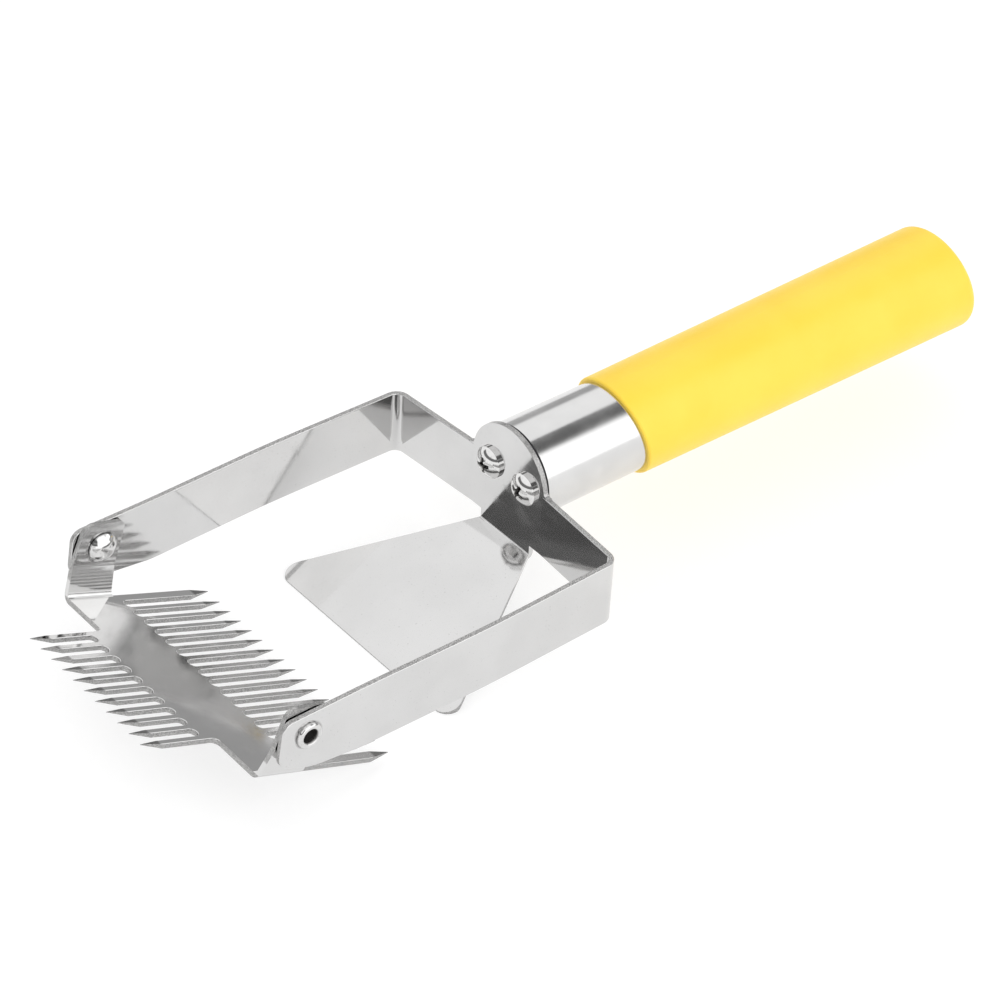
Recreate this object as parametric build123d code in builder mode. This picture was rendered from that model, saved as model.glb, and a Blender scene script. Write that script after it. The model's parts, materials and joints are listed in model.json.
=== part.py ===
from build123d import *
from math import cos, radians, sin, tan
import os

# Uncapping fork: a rocking needle comb riveted into a bent steel frame on a plastic grip.
# Units are millimetres and +Z is up.  The origin is the centre of the slanted flat face at the
# end of the grip, on the grip's axis.  The tool lies along -X, with the comb at the far end,
# and is symmetric about Y = 0.

# ------------------------------------------------------------------ driving dimensions
# handle
grip_length = 127.6        # exposed plastic, along the axis
grip_front_r = 15.2
grip_rear_r = 16.75
grip_slant = 14.0          # both ends lean forward towards the top
grip_slant_reach = 5.0     # more than the slant moves either end's rim
grip_end_round = 3.0       # rounding of the rear rim
grip_front_round = 0.7
grip_end_wall = 9.0        # solid plastic behind the core
ferrule_r = 14.0
ferrule_wall = 0.8
ferrule_exposed = 35.9     # from the crossbar to the grip, along the axis
ferrule_gap = 1.2          # open ring between the crossbar and the ferrule
ferrule_inset = 24.0       # length of ferrule hidden in the grip
core_inset = 78.0          # length of core hidden in the grip

# bent steel frame
sheet = 1.5
frame_width = 93.4         # over the outsides of the arms, at the pivot
strap_height = 19.7
strap_drop = 8.3           # strap mid-height below the handle axis
arm_reach = 103.2          # crossbar back face to the pivot axis
pad_half = 14.6            # flat middle of the crossbar
crossbar_sweep = 2.3       # how far the crossbar's ends sit ahead of its middle
corner_r = 3.4             # at mid-thickness
arm_bow = 0.9              # the arms bulge outwards by this much
bow_reach = 46.5           # crossbar back face to the widest place
bow_end_reach = 86.5       # crossbar back face to where the arms run parallel again
bow_r = 400.0
pad_bend_r = 12.0
sheet_edge_r = 0.3
arm_nose = 9.2             # arm ahead of the pivot
nose_slant = 1.6           # the arm's front edge leans back towards its top
chin_rise = 6.6            # where the front edge meets the sloping underside
chin_knee = 1.0            # behind the pivot, where the underside starts to level out
chin_knee_rise = 1.9
chin_run = 16.0            # behind the pivot, where the underside is level
nose_top_r = 3.5
chin_r = 4.5
chin_knee_r = 20.0
tab_r = 14.9
tab_foot_reach = 16.6
tab_foot_r = 1.6           # hollow corner where the tab leaves the crossbar
hole_spacing = 14.6        # between the two screws
screw_hole_play = 0.2

# scraper blade, one piece with the crossbar
blade_corner_drop = 13.2   # bend corner below the strap's mid-height, at mid-thickness
blade_angle = 15.7         # the blade falls this far below the horizontal
blade_length = 52.1
blade_root_half = 10.3
blade_front_half = 39.4
blade_bend_r = 1.1
blade_corner_r = 4.0
blade_edge = 0.35          # thickness left at the front, which is ground from below
blade_ground = 4.5         # length of the ground part

# comb
pivot_rise = 3.5           # pivot axis above the strap's mid-height
comb_tilt = 22.5           # rear needles point down at rest
comb_sheet = 1.4
plate_depth = 14.0         # pivot axis to the plate's top face
ear_front = 7.6            # ahead of the pivot
ear_back = 7.0             # behind the pivot
ear_top = 7.7              # above the pivot, at the rear corner
ear_top_fall = 1.3         # the top edge falls towards the front
ear_lean = 1.9             # how far the foot of the ear sits inside its top
ear_knee = -5.5            # height, from the pivot, where the ear turns upright
ear_gap = 0.3              # between ear and arm
ear_bend_r = 2.4
ear_knee_r = 6.0
ear_front_round = 3.5
ear_back_round = 2.0
ear_taper = 1.8            # the rear edge leans forward towards the top
needle_pitch = 4.9
needle_width = 1.8
end_needle_width = 3.0     # the two outermost rear needles
needle_edge_r = 0.25
front_needles = 11
rear_needles = 17
front_root = 11.6          # slot ends, ahead of the pivot
front_tip = 31.7
rear_root = 8.1            # slot ends, behind the pivot
rear_tip = 39.4
point_length = 7.0
point_thickness = 0.15     # left at the very tip
shoulder_r = 2.0           # hollow corner beside the front needles

# rivets
rivet_r = 2.5
rivet_bore_r = 2.1
running_gap = 0.05         # radial, ear hole round rivet
head_gap = 0.2             # rivet head to ear
dome_r = 4.2
dome_height = 2.1
dome_rim = 0.5             # straight edge under the dome
roll_r = 3.6
roll_height = 1.3
floor_depth = 1.0          # solid metal under the dome

# screws
screw_r = 2.4
screw_length = 19.0        # under the head
screw_point = 3.0
screw_head_r = 4.7
screw_head_height = 3.3
screw_head_edge = 0.9      # straight edge under the rounded head
recess_span = 5.0
recess_width = 1.35
recess_depth = 2.1
recess_taper = 14.0
hub_r = 1.15
recess_turn = {"screw_left": 25.0, "screw_right": -12.0}

# ------------------------------------------------------------------ derived places
bar_x = -(grip_length + ferrule_exposed)        # back face of the crossbar
pad_front_x = bar_x - sheet                     # front face of the crossbar
strap_z = -strap_drop
strap_top = strap_z + strap_height / 2
strap_bottom = strap_z - strap_height / 2
arm_mid_y = (frame_width - sheet) / 2
arm_inner_y = frame_width / 2 - sheet
arm_outer_y = frame_width / 2
pivot = Vector(bar_x - arm_reach, 0, strap_z + pivot_rise)
nose_tip_x = pivot.X - arm_nose
slot_r = (needle_pitch - needle_width) / 2
hole_half = hole_spacing / 2
ear_outer_y = arm_inner_y - ear_gap
ear_mid_y = ear_outer_y - comb_sheet / 2
ear_inner_y = ear_outer_y - comb_sheet
foot_mid_y = ear_mid_y - ear_lean
tilt = radians(comb_tilt)

side_plane = Plane.XZ                           # sketches here read X and Z; normal is -Y
axis_plane = Plane.YZ                           # sketches here read Y and Z; normal is +X
comb_plane = Plane(origin=pivot, x_dir=(cos(tilt), 0, -sin(tilt)), z_dir=(sin(tilt), 0, cos(tilt)))
plate_plane = comb_plane.offset(-plate_depth - comb_sheet)          # underside of the plate
comb_side_plane = Plane(origin=pivot, x_dir=comb_plane.x_dir, z_dir=(0, -1, 0))
comb_section_plane = Plane(
    origin=comb_plane.from_local_coords(Vector(-ear_front, 0, 0)),
    x_dir=(0, 1, 0),
    z_dir=comb_plane.x_dir,
)

os.makedirs("parts", exist_ok=True)


def write(part, label):
    """Label a finished piece and write its STEP file under the same name."""
    part.label = label
    export_step(part, f"parts/{label}.step")


# ------------------------------------------------------------------ scraper blade
# Bent down from the crossbar's lower edge, then forward, and cut to a trapezoid in plan.
fall = radians(blade_angle)
bend_x = bar_x - sheet / 2
bend_z = strap_z - blade_corner_drop
blade_tip_x = bend_x - blade_length * cos(fall)
blade_tip_z = bend_z - blade_length * sin(fall)
blade_root_z = strap_bottom + sheet             # buried in the crossbar
blade_under_z = blade_tip_z - sheet / 2 / cos(fall)                 # underside, at the front edge
blade_edge_rise = (sheet - blade_edge) / cos(fall)

with BuildPart() as blade:
    with BuildSketch(side_plane):
        with BuildLine():
            FilletPolyline(
                (bend_x, blade_root_z),
                (bend_x, bend_z),
                (blade_tip_x - sheet * cos(fall), blade_tip_z - sheet * sin(fall)),
                radius=blade_bend_r,
            )
        trace(line_width=sheet)
    extrude(amount=blade_front_half, both=True)
    with BuildSketch(Plane.XY.offset(blade_root_z)):
        with BuildLine():
            FilletPolyline(
                (bar_x, -blade_root_half),
                (pad_front_x, -blade_root_half),
                (blade_tip_x, -blade_front_half),
                (blade_tip_x, blade_front_half),
                (pad_front_x, blade_root_half),
                (bar_x, blade_root_half),
                radius=[0, 0, blade_corner_r, blade_corner_r, 0, 0],
                close=True,
            )
        make_face()
    extrude(amount=blade_tip_z - blade_root_z - 2 * sheet, mode=Mode.INTERSECT)
    # the front edge is ground from below
    with BuildSketch(side_plane):
        Polygon(
            (blade_tip_x, blade_under_z + blade_edge_rise),
            (blade_tip_x, blade_under_z - sheet),
            (blade_tip_x + blade_ground, blade_under_z - sheet),
            (blade_tip_x + blade_ground, blade_under_z + blade_ground * tan(fall)),
            align=None,
        )
    extrude(amount=blade_front_half, both=True, mode=Mode.SUBTRACT)

# ------------------------------------------------------------------ bent frame
# One strap makes both arms and the crossbar.  Its middle is flat, to seat the ferrule, and
# carries the round-topped tab above and the scraper blade below.
with BuildPart() as frame_strap:
    with BuildSketch(Plane.XY.offset(strap_bottom)):
        with BuildLine():
            FilletPolyline(
                (nose_tip_x - sheet, -arm_mid_y),
                (bar_x - bow_end_reach, -arm_mid_y),
                (bar_x - bow_reach, -arm_mid_y - arm_bow),
                (bend_x - crossbar_sweep, -arm_mid_y),
                (bend_x, -pad_half),
                (bend_x, pad_half),
                (bend_x - crossbar_sweep, arm_mid_y),
                (bar_x - bow_reach, arm_mid_y + arm_bow),
                (bar_x - bow_end_reach, arm_mid_y),
                (nose_tip_x - sheet, arm_mid_y),
                radius=[bow_r, bow_r, corner_r, pad_bend_r, pad_bend_r, corner_r, bow_r, bow_r],
            )
        trace(line_width=sheet)
    extrude(amount=strap_height)
    with BuildSketch(side_plane):
        with BuildLine():
            FilletPolyline(
                (0, strap_top),
                (nose_tip_x + nose_slant, strap_top),
                (nose_tip_x, strap_bottom + chin_rise),
                (pivot.X + chin_knee, strap_bottom + chin_knee_rise),
                (pivot.X + chin_run, strap_bottom),
                (0, strap_bottom),
                radius=[0, nose_top_r, chin_r, chin_knee_r, chin_knee_r, 0],
                close=True,
            )
        make_face()
    extrude(amount=frame_width, both=True, mode=Mode.INTERSECT)
    narrow_faces = frame_strap.faces().filter_by(Axis.Z)
    fillet(narrow_faces.edges(), sheet_edge_r)

    # the tab stands on the crossbar's top edge, with a hollow corner at each foot
    with BuildSketch(axis_plane.offset(pad_front_x)) as tab_shape:
        Circle(tab_r)
        with Locations((0, strap_top - sheet)):
            Rectangle(2 * tab_foot_reach, 2 * sheet)
        feet = tab_shape.vertices().group_by(Axis.Y)[-1].sort_by(lambda vertex: abs(vertex.X))[:2]
        fillet(feet, tab_foot_r)
        with Locations((0, strap_z)):
            Rectangle(2 * tab_r, strap_height - 2 * sheet, mode=Mode.SUBTRACT)
    extrude(amount=sheet)
    add(blade.part)
    with BuildSketch(axis_plane.offset(pad_front_x)):
        with Locations((-hole_half, 0), (hole_half, 0)):
            Circle(screw_r + screw_hole_play)
    extrude(amount=sheet, mode=Mode.SUBTRACT)
    with BuildSketch(side_plane):
        with Locations((pivot.X, pivot.Z)):
            Circle(rivet_r)
    extrude(amount=frame_width, both=True, mode=Mode.SUBTRACT)
write(frame_strap.part, "frame_strap")

# ------------------------------------------------------------------ comb
# A shallow channel, plate and two ears, with needles cut along both edges of the plate.


def needle_spans(count, end_width):
    """Low and high Y of every needle in a centred row; the two end needles may be wider."""
    middles = [(index - (count - 1) / 2) * needle_pitch for index in range(count)]
    spans = [(middle - needle_width / 2, middle + needle_width / 2) for middle in middles]
    spans[0] = (spans[0][1] - end_width, spans[0][1])
    spans[-1] = (spans[-1][0], spans[-1][0] + end_width)
    return spans


def slotted_row(spans, root, tip):
    """Sketch a row of square-ended needles, from under the plate out to tip."""
    way = 1 if tip > root else -1
    slots = [(before[1] + after[0]) / 2 for before, after in zip(spans, spans[1:])]
    slot_length = abs(tip - root)
    with Locations((tip / 2, 0)):
        Rectangle(abs(tip), spans[-1][1] - spans[0][0])
    with Locations([(root + way * (slot_length / 2 + slot_r), y) for y in slots]):
        Rectangle(slot_length, 2 * slot_r, mode=Mode.SUBTRACT)
    with Locations([(root + way * slot_r, y) for y in slots]):
        Circle(slot_r, mode=Mode.SUBTRACT)


def point_waste(spans, tip):
    """Sketch the metal ground away beside the needles' points."""
    way = 1 if tip > 0 else -1
    base = tip - way * point_length
    beyond = tip + way * comb_sheet
    outside = spans[-1][1] + comb_sheet
    zigzag = []
    for low, high in spans:
        zigzag += [(base, low), (tip, (low + high) / 2), (base, high)]
    frame = [(base, outside), (beyond, outside), (beyond, -outside), (base, -outside)]
    Polygon(*zigzag, *frame, align=None)


def underside_waste(tip):
    """Sketch the metal ground away under the needles' points, seen from the side."""
    way = 1 if tip > 0 else -1
    plate_bottom = -plate_depth - comb_sheet
    Polygon(
        (tip - way * point_length, plate_bottom),
        (tip, -plate_depth - point_thickness),
        (tip + way, -plate_depth - point_thickness),
        (tip + way, plate_bottom - 1),
        (tip - way * point_length, plate_bottom - 1),
        align=None,
    )


front_spans = needle_spans(front_needles, needle_width)
rear_spans = needle_spans(rear_needles, end_needle_width)

with BuildPart() as needle_plate:
    with BuildSketch(plate_plane) as needle_outline:
        with Locations(((ear_back - ear_front) / 2, 0)):
            Rectangle(ear_back + ear_front, 2 * rear_spans[-1][0])
        slotted_row(front_spans, -front_root, -front_tip)
        slotted_row(rear_spans, rear_root, rear_tip)
        front_edge = needle_outline.vertices().filter_by_position(Axis.X, -ear_front, -ear_front)
        shoulders = front_edge.sort_by(lambda vertex: abs(vertex.Y))[:2]
        fillet(shoulders, shoulder_r)
    extrude(amount=comb_sheet)
    top_face = needle_plate.faces().sort_by(Axis(comb_plane.origin, comb_plane.z_dir))[-1]
    fillet(top_face.edges(), needle_edge_r)

with BuildPart() as comb:
    # channel section: plate across, ears leaning out and then upright
    with BuildSketch(comb_section_plane):
        with BuildLine():
            FilletPolyline(
                (-ear_mid_y, ear_top),
                (-ear_mid_y, ear_knee),
                (-foot_mid_y, -plate_depth - comb_sheet / 2),
                (foot_mid_y, -plate_depth - comb_sheet / 2),
                (ear_mid_y, ear_knee),
                (ear_mid_y, ear_top),
                radius=[ear_knee_r, ear_bend_r, ear_bend_r, ear_knee_r],
            )
        trace(line_width=comb_sheet)
    extrude(amount=ear_front + ear_back)
    # each ear is rounded over its front corner
    with BuildSketch(comb_side_plane):
        with BuildLine():
            FilletPolyline(
                (-ear_front, -plate_depth - 2 * comb_sheet),
                (-ear_front, ear_top - ear_top_fall),
                (ear_back - ear_taper, ear_top),
                (ear_back, -plate_depth),
                (ear_back, -plate_depth - 2 * comb_sheet),
                radius=[0, ear_front_round, ear_back_round, 0, 0],
                close=True,
            )
        make_face()
    extrude(amount=frame_width, both=True, mode=Mode.INTERSECT)
    add(needle_plate.part)
    # points: ground to a V in plan and from below
    with BuildSketch(plate_plane):
        point_waste(front_spans, -front_tip)
        point_waste(rear_spans, rear_tip)
    extrude(amount=comb_sheet, mode=Mode.SUBTRACT)
    with BuildSketch(comb_side_plane):
        underside_waste(-front_tip)
        underside_waste(rear_tip)
    extrude(amount=frame_width, both=True, mode=Mode.SUBTRACT)
    # rivet holes through both ears
    with BuildSketch(comb_side_plane):
        Circle(rivet_r + running_gap)
    extrude(amount=frame_width, both=True, mode=Mode.SUBTRACT)
write(comb.part, "comb")

# ------------------------------------------------------------------ rivets
# Domed inside the ear, hollow from the outside, with the tube's end rolled over the arm.
head_base_y = ear_inner_y - head_gap
rivet_plane = Plane(origin=pivot, x_dir=(1, 0, 0), z_dir=(0, 0, 1))

with BuildPart() as rivet_right:
    with BuildSketch(rivet_plane):
        with BuildLine():
            Line((0, head_base_y + floor_depth), (0, head_base_y - dome_rim - dome_height))
            TangentArc(
                (0, head_base_y - dome_rim - dome_height),
                (dome_r, head_base_y - dome_rim),
                tangent=(1, 0),
            )
            Polyline(
                (dome_r, head_base_y - dome_rim),
                (dome_r, head_base_y),
                (rivet_r, head_base_y),
                (rivet_r, arm_outer_y),
                (roll_r, arm_outer_y),
            )
            ThreePointArc(
                (roll_r, arm_outer_y),
                ((roll_r + rivet_bore_r) / 2, arm_outer_y + roll_height),
                (rivet_bore_r, arm_outer_y),
            )
            Polyline(
                (rivet_bore_r, arm_outer_y),
                (rivet_bore_r, head_base_y + floor_depth),
                (0, head_base_y + floor_depth),
            )
        make_face()
    revolve(axis=Axis(pivot, (0, 1, 0)))
write(rivet_right.part, "rivet_right")

with BuildPart() as rivet_left:
    mirror(rivet_right.part, about=Plane.XZ)
write(rivet_left.part, "rivet_left")

# ------------------------------------------------------------------ ferrule, core and grip
ferrule_end_x = -grip_length + ferrule_inset
core_r = ferrule_r - ferrule_wall
ferrule_start_x = bar_x + ferrule_gap
core_end_x = -grip_length + core_inset
screw_tip_x = pad_front_x + screw_length

with BuildPart() as ferrule:
    with BuildSketch(axis_plane.offset(ferrule_start_x)):
        Circle(ferrule_r)
        Circle(core_r, mode=Mode.SUBTRACT)
    extrude(amount=ferrule_end_x - ferrule_start_x)
write(ferrule.part, "ferrule")

with BuildPart() as handle_core:
    with BuildSketch(axis_plane.offset(bar_x)):
        Circle(core_r)
    extrude(amount=core_end_x - bar_x)
    chamfer(handle_core.edges().group_by(Axis.X)[-1], ferrule_wall)
    with BuildSketch(axis_plane.offset(bar_x)):
        with Locations((-hole_half, 0), (hole_half, 0)):
            Circle(screw_r)
    extrude(amount=screw_tip_x - bar_x + screw_point / 2, mode=Mode.SUBTRACT)
write(handle_core.part, "handle_core")

slant = radians(grip_slant)
slant_way = (cos(slant), 0, sin(slant))
with BuildPart() as grip:
    with BuildSketch(side_plane):
        with BuildLine():
            Polyline(
                (-grip_length - grip_slant_reach, ferrule_r),
                (-grip_length - grip_slant_reach, grip_front_r),
                (grip_slant_reach, grip_rear_r),
                (grip_slant_reach, 0),
                (core_end_x, 0),
                (core_end_x, core_r),
                (ferrule_end_x, core_r),
                (ferrule_end_x, ferrule_r),
                close=True,
            )
        make_face()
    revolve(axis=Axis.X)
    # both ends are cut at a slant, the rear one through the origin, and their rims rounded
    split(bisect_by=Plane(origin=(0, 0, 0), x_dir=(0, 1, 0), z_dir=slant_way), keep=Keep.BOTTOM)
    front_cut = Plane(origin=(-grip_length, 0, 0), x_dir=(0, 1, 0), z_dir=slant_way)
    split(bisect_by=front_cut, keep=Keep.TOP)
    fillet(grip.faces().sort_by(Axis.X)[-1].edges(), grip_end_round)
    front_rim = grip.faces().sort_by(Axis.X)[0].edges().sort_by(SortBy.LENGTH)[-1]
    fillet(front_rim, grip_front_round)
write(grip.part, "grip")

# ------------------------------------------------------------------ tab screws
# Pan-headed self-tapping screws with a cross recess, through the tab into the core.
for label, screw_y in (("screw_left", -hole_half), ("screw_right", hole_half)):
    head_top_x = pad_front_x - screw_head_height
    turn = radians(recess_turn[label])
    recess_plane = Plane(
        origin=(head_top_x, screw_y, 0), x_dir=(0, cos(turn), sin(turn)), z_dir=(1, 0, 0)
    )
    with BuildPart() as screw:
        with BuildSketch(side_plane.offset(-screw_y)):
            with BuildLine():
                TangentArc(
                    (head_top_x, 0),
                    (pad_front_x - screw_head_edge, screw_head_r),
                    tangent=(0, 1),
                )
                Polyline(
                    (head_top_x, 0),
                    (screw_tip_x, 0),
                    (screw_tip_x - screw_point, screw_r),
                    (pad_front_x, screw_r),
                    (pad_front_x, screw_head_r),
                    (pad_front_x - screw_head_edge, screw_head_r),
                )
            make_face()
        revolve(axis=Axis((0, screw_y, 0), (1, 0, 0)))
        with BuildSketch(recess_plane):
            Rectangle(recess_span, recess_width)
            Rectangle(recess_width, recess_span)
            Circle(hub_r)
        extrude(amount=recess_depth, taper=recess_taper, mode=Mode.SUBTRACT)
    write(screw.part, label)
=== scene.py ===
import json
import math

import bpy
from mathutils import Matrix, Vector


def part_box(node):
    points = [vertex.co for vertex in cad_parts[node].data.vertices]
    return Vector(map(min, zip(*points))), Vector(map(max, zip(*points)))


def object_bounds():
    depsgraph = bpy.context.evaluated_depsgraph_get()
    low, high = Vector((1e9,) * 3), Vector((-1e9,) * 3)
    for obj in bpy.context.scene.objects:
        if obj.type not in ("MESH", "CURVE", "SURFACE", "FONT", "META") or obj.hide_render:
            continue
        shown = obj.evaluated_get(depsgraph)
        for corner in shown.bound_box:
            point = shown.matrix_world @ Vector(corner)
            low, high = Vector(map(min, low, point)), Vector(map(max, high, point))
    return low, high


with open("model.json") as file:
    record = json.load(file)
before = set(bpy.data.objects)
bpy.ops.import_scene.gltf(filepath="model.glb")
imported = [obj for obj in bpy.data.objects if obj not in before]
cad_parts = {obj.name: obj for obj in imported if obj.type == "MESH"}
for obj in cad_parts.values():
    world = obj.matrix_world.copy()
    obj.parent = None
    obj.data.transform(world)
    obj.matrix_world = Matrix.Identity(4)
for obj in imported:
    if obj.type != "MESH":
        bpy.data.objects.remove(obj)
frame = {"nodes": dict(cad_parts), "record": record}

cad_low, cad_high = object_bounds()
mm_per_m = 1000.0
scene = bpy.context.scene
scene.view_settings.view_transform = "Standard"


# ---------------------------------------------------------------- node graphs
class Graph:
    """A small wrapper that makes and joins shader nodes."""

    def __init__(self, tree):
        self.tree = tree
        tree.nodes.clear()

    def node(self, kind, **settings):
        made = self.tree.nodes.new(kind)
        for key, value in settings.items():
            setattr(made, key, value)
        return made

    def put(self, socket, value):
        if isinstance(value, bpy.types.NodeSocket):
            self.tree.links.new(value, socket)
        elif value is not None:
            socket.default_value = value

    def math(self, operation, a, b=None):
        made = self.node("ShaderNodeMath", operation=operation)
        for socket, value in zip(made.inputs, (a, b)):
            self.put(socket, value)
        return made.outputs[0]

    def vector(self, operation, a, b=None):
        made = self.node("ShaderNodeVectorMath", operation=operation)
        for socket, value in zip(made.inputs, (a, b)):
            self.put(socket, value)
        return made.outputs["Value" if operation in ("DOT_PRODUCT", "LENGTH") else "Vector"]

    def between(self, value, low, high, to_low=0.0, to_high=1.0):
        """Eases from to_low at low to to_high at high."""
        made = self.node("ShaderNodeMapRange", interpolation_type="SMOOTHSTEP")
        self.put(made.inputs["Value"], value)
        limits = {"From Min": low, "From Max": high, "To Min": to_low, "To Max": to_high}
        for name, number in limits.items():
            self.put(made.inputs[name], number)
        return made.outputs["Result"]

    def blend(self, factor, a, b):
        made = self.node("ShaderNodeMix", data_type="RGBA")
        self.put(made.inputs[0], factor)
        self.put(made.inputs[6], a)
        self.put(made.inputs[7], b)
        return made.outputs[2]

    def noise(self, place, scale, detail=2.0, roughness=0.5):
        made = self.node("ShaderNodeTexNoise")
        self.put(made.inputs["Vector"], place)
        for name, number in (("Scale", scale), ("Detail", detail), ("Roughness", roughness)):
            self.put(made.inputs[name], number)
        return made.outputs["Fac"]

    def bump(self, height, distance, normal=None):
        made = self.node("ShaderNodeBump")
        self.put(made.inputs["Height"], height)
        self.put(made.inputs["Distance"], distance)
        self.put(made.inputs["Normal"], normal)
        return made.outputs["Normal"]


class Finish(Graph):
    """A Principled material whose coordinates are millimetres in the node's own axes."""

    def __init__(self, name, **constants):
        self.material = bpy.data.materials.new(name)
        self.material.use_nodes = True
        super().__init__(self.material.node_tree)
        self.shader = self.node("ShaderNodeBsdfPrincipled")
        output = self.node("ShaderNodeOutputMaterial")
        self.tree.links.new(self.shader.outputs[0], output.inputs[0])
        for key, value in constants.items():
            self.shader.inputs[key.replace("_", " ")].default_value = value
        coordinates = self.node("ShaderNodeTexCoord")
        self.mm = self.stretched(coordinates.outputs["Object"], (mm_per_m, mm_per_m, mm_per_m))
        self.normal = coordinates.outputs["Normal"]
        parts = self.node("ShaderNodeSeparateXYZ")
        self.put(parts.inputs[0], self.mm)
        self.x, self.y, self.z = parts.outputs

    def stretched(self, place, scale):
        made = self.node("ShaderNodeMapping", vector_type="POINT")
        self.put(made.inputs["Vector"], place)
        self.put(made.inputs["Scale"], scale)
        return made.outputs[0]

    def facing(self, direction):
        """How far the surface faces either way along a direction, from 0 to 1."""
        return self.math("ABSOLUTE", self.vector("DOT_PRODUCT", self.normal, direction))

    def set(self, name, value):
        self.put(self.shader.inputs[name], value)


def grey(level, warm=0.0):
    return (level * (1 + warm), level, level * (1 - warm), 1.0)


# ---------------------------------------------------------------- the object's measures
# Lengths are in millimetres.  A pair is where a mask starts and where it is full.
blade_slope = math.radians(15.7)
blade_normal = (-math.sin(blade_slope), 0.0, math.cos(blade_slope))
comb_tilt = math.radians(22.5)
comb_normal = (math.sin(comb_tilt), 0.0, math.cos(comb_tilt))
needle_way = (math.cos(comb_tilt), 0.0, -math.sin(comb_tilt))
pivot = Vector(frame["record"]["behaviour"]["joints"][0]["pos_m"]) * mm_per_m
screw_low, screw_high = (corner * mm_per_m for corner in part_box("screw_left"))
screw_offset = abs(screw_low.y + screw_high.y) / 2
x_axis, y_axis, z_axis = (1.0, 0.0, 0.0), (0.0, 1.0, 0.0), (0.0, 0.0, 1.0)

front_points = (-25.3, -26.1)      # along the needles from the pivot
rear_points = (33.2, 34.0)
strap_middle = (-9.3, -7.3)        # heights in the object's frame
strap_foot = (-18.5, -18.2)
tab_foot = (1.95, 2.1)
blade_root = (-23.5, -24.5)
nose_start = (pivot.x + 8.0, pivot.x + 6.0)
needle_top = (-13.8, -14.1)        # heights over the pivot, square to the comb's plate
ear_foot = (-10.0, -9.0)
arm_ring = (4.4, 3.5)              # distances from the pivot's axis
ear_ring = (5.3, 4.2)
rivet_bore = (2.45, 2.05)
rolled_end = (44.1, 44.3)          # distance from the tool's middle plane
recess_depth = (0.1, 0.6)          # below the dome of the screw's head
recess_reach_squared = (11.0, 8.5)
dome_fall = 0.09                   # of the screw's head, per square millimetre off its axis


# ---------------------------------------------------------------- materials
def pivot_offset(made):
    return made.vector("SUBTRACT", made.mm, tuple(pivot))


def pivot_radius(made):
    """Distance from the pivot's axis."""
    return made.vector("LENGTH", made.vector("MULTIPLY", pivot_offset(made), (1.0, 0.0, 1.0)))


def no_grinding(made):
    return 0.0


def ground_points(made):
    """Marks the ends of the needles, which are ground to points and carry a painted dark
    reflection.
    """
    along = made.vector("DOT_PRODUCT", pivot_offset(made), needle_way)
    return made.math("ADD", made.between(along, *front_points), made.between(along, *rear_points))


def sheet_steel(name, level, grain, ripple, edge_mask, rivet_shade_mask, ground_mask=no_grinding):
    """Polished stainless sheet with fine rolling lines, smudges and sheared edges; painted shade
    darkens it round the rivets and, on the comb, the needles' sides and ground points.
    """
    made = Finish(name, Metallic=1.0)
    mm = made.mm
    cloud = made.noise(mm, 0.045, 3.0)
    smudge = made.noise(made.stretched(mm, (0.11, 0.11, 0.16)), 1.0, 4.0, 0.6)
    lines = made.noise(made.stretched(mm, grain), 1.0, 3.0, 0.7)
    specks = made.noise(mm, 1.9, 2.0, 0.6)
    edge = edge_mask(made)
    rivet_shade = rivet_shade_mask(made)
    tear = made.noise(made.stretched(mm, (3.2, 3.2, 7.0)), 1.0, 4.0, 0.7)
    dull, bright = grey(level * 0.96, 0.004), grey(level * 1.02, 0.004)
    face = made.blend(made.between(cloud, 0.3, 0.7), dull, bright)
    face = made.blend(made.between(specks, 0.66, 0.74, 0.0, 0.35), face, grey(level * 0.5, 0.01))
    # Sheared edges, streaked dark to mid grey; on the needles' sides this darkness is a painted
    # reflection of dark ground.
    cut_and_shade = made.blend(made.between(tear, 0.35, 0.65), grey(0.17, 0.01), grey(0.58, 0.01))
    ground = ground_mask(made)
    # The needles' ground points: grinding streaks, made near black by a painted dark reflection.
    ground_streaks_and_shade = made.blend(made.between(tear, 0.35, 0.6), grey(0.10, 0.01), grey(0.30, 0.01))
    face = made.blend(made.math("MULTIPLY", ground, 0.85), face, ground_streaks_and_shade)
    edged_face = made.blend(edge, face, cut_and_shade)
    # Painted shade: near black round the rivet heads, where shade falls between head and sheet.
    made.set("Base Color", made.blend(made.math("MULTIPLY", rivet_shade, 0.85), edged_face, grey(0.05, 0.03)))
    polish = made.between(smudge, 0.45, 0.75, 0.045, 0.11)
    polish = made.math("ADD", polish, made.math("MULTIPLY", lines, 0.05))
    rough = made.math("ADD", polish, made.math("MULTIPLY", edge, 0.24))
    made.set("Roughness", made.math("ADD", rough, made.math("MULTIPLY", rivet_shade, 0.3)))
    wave = made.bump(made.noise(mm, 0.05, 1.0), ripple)
    fine = made.bump(lines, 4e-7, wave)
    height = made.math("MULTIPLY", tear, edge)
    made.set("Normal", made.bump(height, 4e-5, fine))
    return made.material


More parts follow.
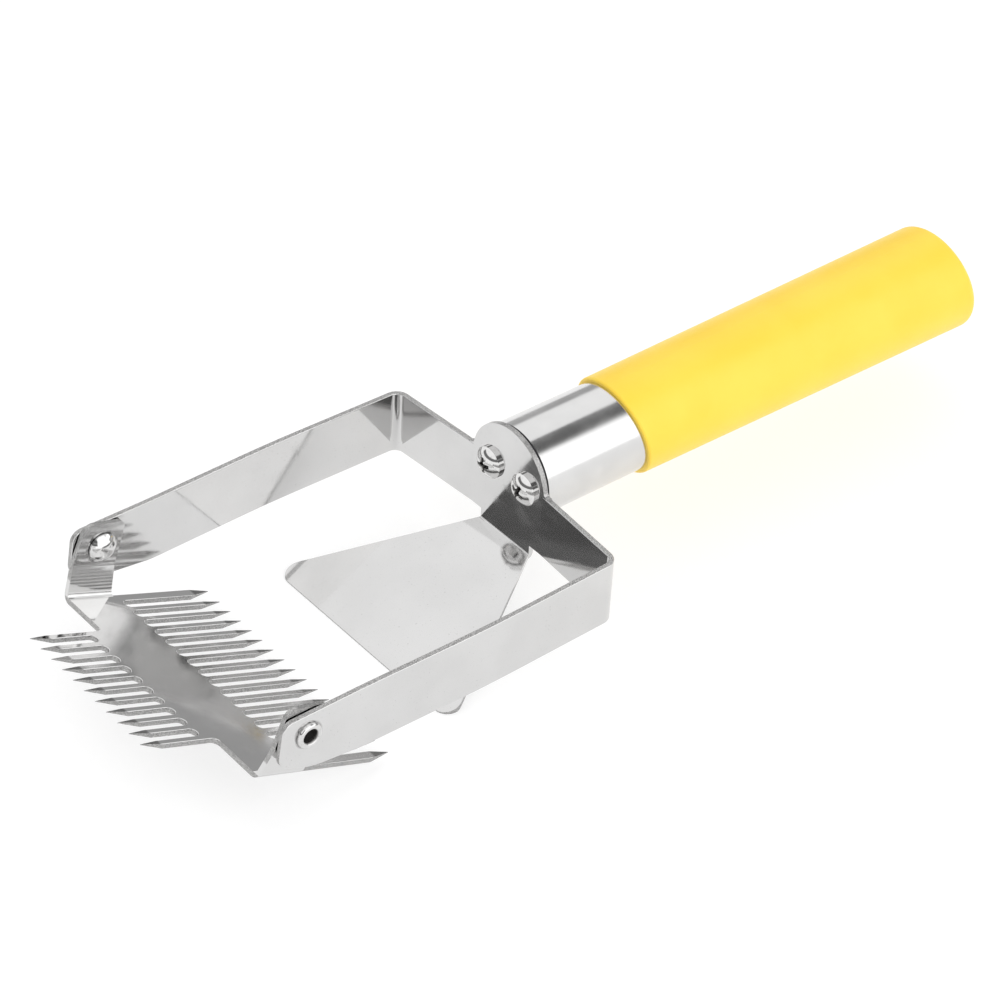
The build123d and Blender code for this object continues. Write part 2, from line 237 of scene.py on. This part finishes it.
def strap_edges(made):
    """Marks the frame strap's sheared edges, and those round its tab, nose and blade."""
    upright = made.facing(z_axis)
    along = made.facing(x_axis)
    across = made.facing(y_axis)
    above = made.between(made.z, *strap_middle, 0.3, 1.0)
    strap = made.math("MULTIPLY", made.between(upright, 0.6, 0.85), above)
    strap = made.math("MULTIPLY", strap, made.between(made.z, *strap_foot))
    ahead = made.between(made.x, *nose_start)
    nose = made.math("MULTIPLY", made.between(across, 0.5, 0.3), ahead)
    tab = made.math("MULTIPLY", made.between(along, 0.6, 0.4), made.between(made.z, *tab_foot))
    either = made.math("MAXIMUM", strap, made.math("MAXIMUM", nose, tab))
    blade = made.between(made.facing(blade_normal), 0.6, 0.4)
    rim = made.math("MULTIPLY", blade, made.between(made.z, *blade_root))
    return made.math("MAXIMUM", either, rim)


def strap_rivet_shade(made):
    """Marks painted shade round the rivets, in patches."""
    patchy = made.between(made.noise(made.mm, 0.3, 2.0), 0.35, 0.65, 0.5, 1.0)
    return made.math("MULTIPLY", made.between(pivot_radius(made), *arm_ring), patchy)


def comb_edges(made):
    """Marks the stamped sides of the needles and the edges of the ears; the dark colour laid on the
    needles' sides is a painted reflection of dark ground.
    """
    flat = made.between(made.facing(comb_normal), 0.75, 0.5)
    across = made.between(made.facing(y_axis), 0.4, 0.25)
    height = made.vector("DOT_PRODUCT", pivot_offset(made), comb_normal)
    needle = made.math("MULTIPLY", flat, made.between(height, *needle_top))
    ear = made.math("MULTIPLY", across, made.between(height, *ear_foot))
    return made.math("MAXIMUM", needle, ear)


def comb_rivet_shade(made):
    """Marks painted shade round the rivet heads, in patches."""
    patchy = made.between(made.noise(made.mm, 0.7, 3.0), 0.35, 0.65)
    return made.math("MULTIPLY", made.between(pivot_radius(made), *ear_ring), patchy)


def chrome(name, level, roughness, wear_scale, recess_shade_mask):
    """Bright rounded hardware with painted shade in its hollows."""
    made = Finish(name, Metallic=1.0)
    wear = made.noise(made.mm, wear_scale, 4.0, 0.6)
    spots = made.noise(made.mm, 1.6, 3.0, 0.6)
    bright = made.blend(made.between(wear, 0.35, 0.7), grey(level, 0.006), grey(level * 0.9, 0.006))
    stained = made.blend(made.between(spots, 0.62, 0.72, 0.0, 0.4), bright, grey(0.1, 0.03))
    recess_shade = recess_shade_mask(made)
    # Painted shade: dark grey laid in the rivet's bore and the screw's cross recess.
    made.set("Base Color", made.blend(recess_shade, stained, grey(0.2, 0.02)))
    polish = made.between(wear, 0.4, 0.8, roughness, roughness * 2.2)
    made.set("Roughness", made.math("ADD", polish, made.math("MULTIPLY", recess_shade, 0.35)))
    made.set("Normal", made.bump(wear, 6e-6))
    return made.material


def rivet_bore_shade(made):
    """Marks the bore of the tubular rivet, which opens on the outside of the arm, for painted
    shade.
    """
    bore = made.between(pivot_radius(made), *rivet_bore)
    out = made.between(made.math("ABSOLUTE", made.y), *rolled_end)
    return made.math("MULTIPLY", bore, out)


def screw_recess_shade(made):
    """Marks the cross recess, which lies below the dome of the head, for painted shade."""
    depth = made.math("SUBTRACT", made.x, screw_low.x)
    out = made.math("SUBTRACT", made.math("ABSOLUTE", made.y), screw_offset)
    squared = made.math("MULTIPLY", out, out)
    squared = made.math("ADD", squared, made.math("MULTIPLY", made.z, made.z))
    sunk = made.math("SUBTRACT", depth, made.math("MULTIPLY", squared, dome_fall))
    deep = made.between(sunk, *recess_depth)
    return made.math("MULTIPLY", deep, made.between(squared, *recess_reach_squared))


def drawn_tube(name):
    """Polished tube with fine lines drawn along its length."""
    made = Finish(name, Metallic=1.0)
    lines = made.noise(made.stretched(made.mm, (0.05, 6.0, 6.0)), 1.0, 4.0, 0.75)
    cloud = made.noise(made.mm, 0.12, 3.0)
    dull, bright = grey(0.66, 0.004), grey(0.70, 0.004)
    made.set("Base Color", made.blend(made.between(cloud, 0.3, 0.7), dull, bright))
    polish = made.between(cloud, 0.4, 0.8, 0.10, 0.15)
    made.set("Roughness", made.math("ADD", polish, made.math("MULTIPLY", lines, 0.08)))
    made.set("Normal", made.bump(lines, 1.5e-6))
    return made.material


def moulded(name, deep, light, roughness):
    """Moulded plastic: satin skin with a faint orange-peel and a little wear."""
    made = Finish(name, Subsurface_Weight=0.05, Subsurface_Scale=0.004, IOR=1.46)
    cloud = made.noise(made.mm, 0.05, 3.0)
    peel = made.noise(made.mm, 1.1, 3.0, 0.55)
    grain = made.noise(made.mm, 5.0, 2.0)
    made.set("Base Color", made.blend(made.between(cloud, 0.3, 0.7), deep, light))
    made.set("Roughness", made.between(peel, 0.3, 0.7, roughness, roughness + 0.08))
    made.set("Normal", made.bump(grain, 8e-6, made.bump(peel, 3e-5)))
    return made.material


strap_lines, comb_lines = (0.06, 0.06, 7.0), (0.4, 9.0, 0.4)
core_black, core_grey = (0.035, 0.035, 0.04, 1), (0.05, 0.05, 0.055, 1)
grip_deep, grip_light = (0.97, 0.66, 0.055, 1), (1.0, 0.69, 0.070, 1)
finishes = {
    "frame_strap": sheet_steel(
        "polished_steel", 0.66, strap_lines, 4e-6, strap_edges, strap_rivet_shade
    ),
    "comb": sheet_steel(
        "comb_steel", 0.66, comb_lines, 3e-6, comb_edges, comb_rivet_shade, ground_points
    ),
    "rivet_left": chrome("rivet_steel", 0.68, 0.06, 0.9, rivet_bore_shade),
    "screw_left": chrome("screw_steel", 0.74, 0.04, 0.7, screw_recess_shade),
    "ferrule": drawn_tube("ferrule_steel"),
    "handle_core": moulded("core_plastic", core_black, core_grey, 0.45),
    "grip": moulded("yellow_plastic", grip_deep, grip_light, 0.36),
}
finishes["rivet_right"] = finishes["rivet_left"]
finishes["screw_right"] = finishes["screw_left"]
for name, material in finishes.items():
    for place in frame["nodes"][name].material_slots:
        place.material = material


# ---------------------------------------------------------------- floor
floor_half = 6.0
floor_mesh = bpy.data.meshes.new("floor")
signs = ((-1, -1), (1, -1), (1, 1), (-1, 1))
corners = [(x * floor_half, y * floor_half, cad_low.z) for x, y in signs]
floor_mesh.from_pydata(corners, [], [(0, 1, 2, 3)])
floor = bpy.data.objects.new("floor", floor_mesh)
scene.collection.objects.link(floor)
white = (1.0, 1.0, 1.0, 1.0)
paper = Finish("floor_paper", Roughness=0.9, Emission_Color=white, Emission_Strength=0.62)
paper.set("Base Color", paper.blend(paper.noise(paper.mm, 0.02, 2.0), grey(0.40), grey(0.42)))
floor_mesh.materials.append(paper.material)


# ---------------------------------------------------------------- light
# A white room: a grey low wall behind the grip, a bright wall of light on the tool's left, a
# dark gap over the grip, a dark low wall beyond the comb, and the dark place of a viewer.
world = bpy.data.worlds.new("studio")
scene.world = world
world.use_nodes = True
sky = Graph(world.node_tree)
background = sky.node("ShaderNodeBackground")
sky_output = sky.node("ShaderNodeOutputWorld")
sky.tree.links.new(background.outputs[0], sky_output.inputs[0])
background.inputs["Color"].default_value = white
ray = sky.node("ShaderNodeSeparateXYZ")
bearing = sky.node("ShaderNodeTexCoord").outputs["Generated"]
sky.put(ray.inputs[0], bearing)
height = sky.math("MULTIPLY", sky.math("ARCSINE", ray.outputs[2]), 180.0 / math.pi)


def bearing_from(middle):
    """Bearing of the ray about +Z, in degrees either side of a middle bearing."""
    turn = math.radians(middle)
    ahead = sky.vector("DOT_PRODUCT", bearing, (math.cos(turn), math.sin(turn), 0.0))
    aside = sky.vector("DOT_PRODUCT", bearing, (-math.sin(turn), math.cos(turn), 0.0))
    return sky.math("MULTIPLY", sky.math("ARCTAN2", aside, ahead), 180.0 / math.pi)


def panel(middle, left, right, low, high):
    """A soft-edged patch of sky: each edge is where it starts and where it is full."""
    around = bearing_from(middle)
    width = sky.math("MULTIPLY", sky.between(around, *left), sky.between(around, *right))
    rise = sky.math("MULTIPLY", sky.between(height, *low), sky.between(height, *high))
    return sky.math("MULTIPLY", width, rise)


def lit(base, patch, level):
    """The sky's strength where a patch of another level hangs in front of it."""
    mixed = sky.node("ShaderNodeMix", data_type="FLOAT")
    for index, value in ((0, patch), (2, base), (3, level)):
        sky.put(mixed.inputs[index], value)
    return mixed.outputs[0]


strength = 1.12
for patch, level in (
    (panel(10.0, (-58.0, -50.0), (58.0, 44.0), (-1.0, 3.0), (27.0, 19.0)), 0.42),
    (panel(-86.0, (-48.0, -36.0), (45.0, 42.0), (24.0, 30.0), (84.0, 66.0)), 1.62),
    (panel(-82.0, (-52.0, -40.0), (44.5, 42.5), (-12.0, -4.0), (34.0, 28.0)), 1.62),
    (panel(-16.0, (-27.0, -22.0), (22.0, 18.0), (37.0, 50.0), (62.0, 58.5)), 0.14),
    (panel(-30.0, (-12.0, -8.0), (15.0, 11.0), (14.0, 18.0), (37.0, 32.0)), 1.9),
    (panel(180.0, (-66.0, -58.0), (66.0, 58.0), (11.5, 13.5), (29.0, 24.5)), 0.2),
    (panel(-131.0, (-17.0, -10.0), (17.0, 10.0), (24.0, 31.0), (52.0, 45.0)), 0.16),
):
    strength = lit(strength, patch, level)
sky.put(background.inputs["Strength"], strength)


# ---------------------------------------------------------------- camera
camera_place = Vector((-0.62152, -0.51277, 0.53182))
view_azimuth, view_elevation, view_roll = map(math.radians, (-41.543, 38.227, 3.453))
back = Vector(
    (
        math.sin(view_azimuth) * math.cos(view_elevation),
        -math.cos(view_azimuth) * math.cos(view_elevation),
        math.sin(view_elevation),
    )
)
level_right = Vector((0.0, 0.0, 1.0)).cross(back).normalized()
level_up = back.cross(level_right)
right = level_right * math.cos(view_roll) + level_up * math.sin(view_roll)
up = level_up * math.cos(view_roll) - level_right * math.sin(view_roll)
camera_data = bpy.data.cameras.new("camera")
camera_data.sensor_width = 36.0
camera_data.lens = 116.02
camera_data.clip_start, camera_data.clip_end = 0.05, 30.0
camera = bpy.data.objects.new("camera", camera_data)
scene.collection.objects.link(camera)
placing = Matrix((right, up, back)).transposed().to_4x4()
placing.translation = camera_place
camera.matrix_world = placing
scene.camera = camera
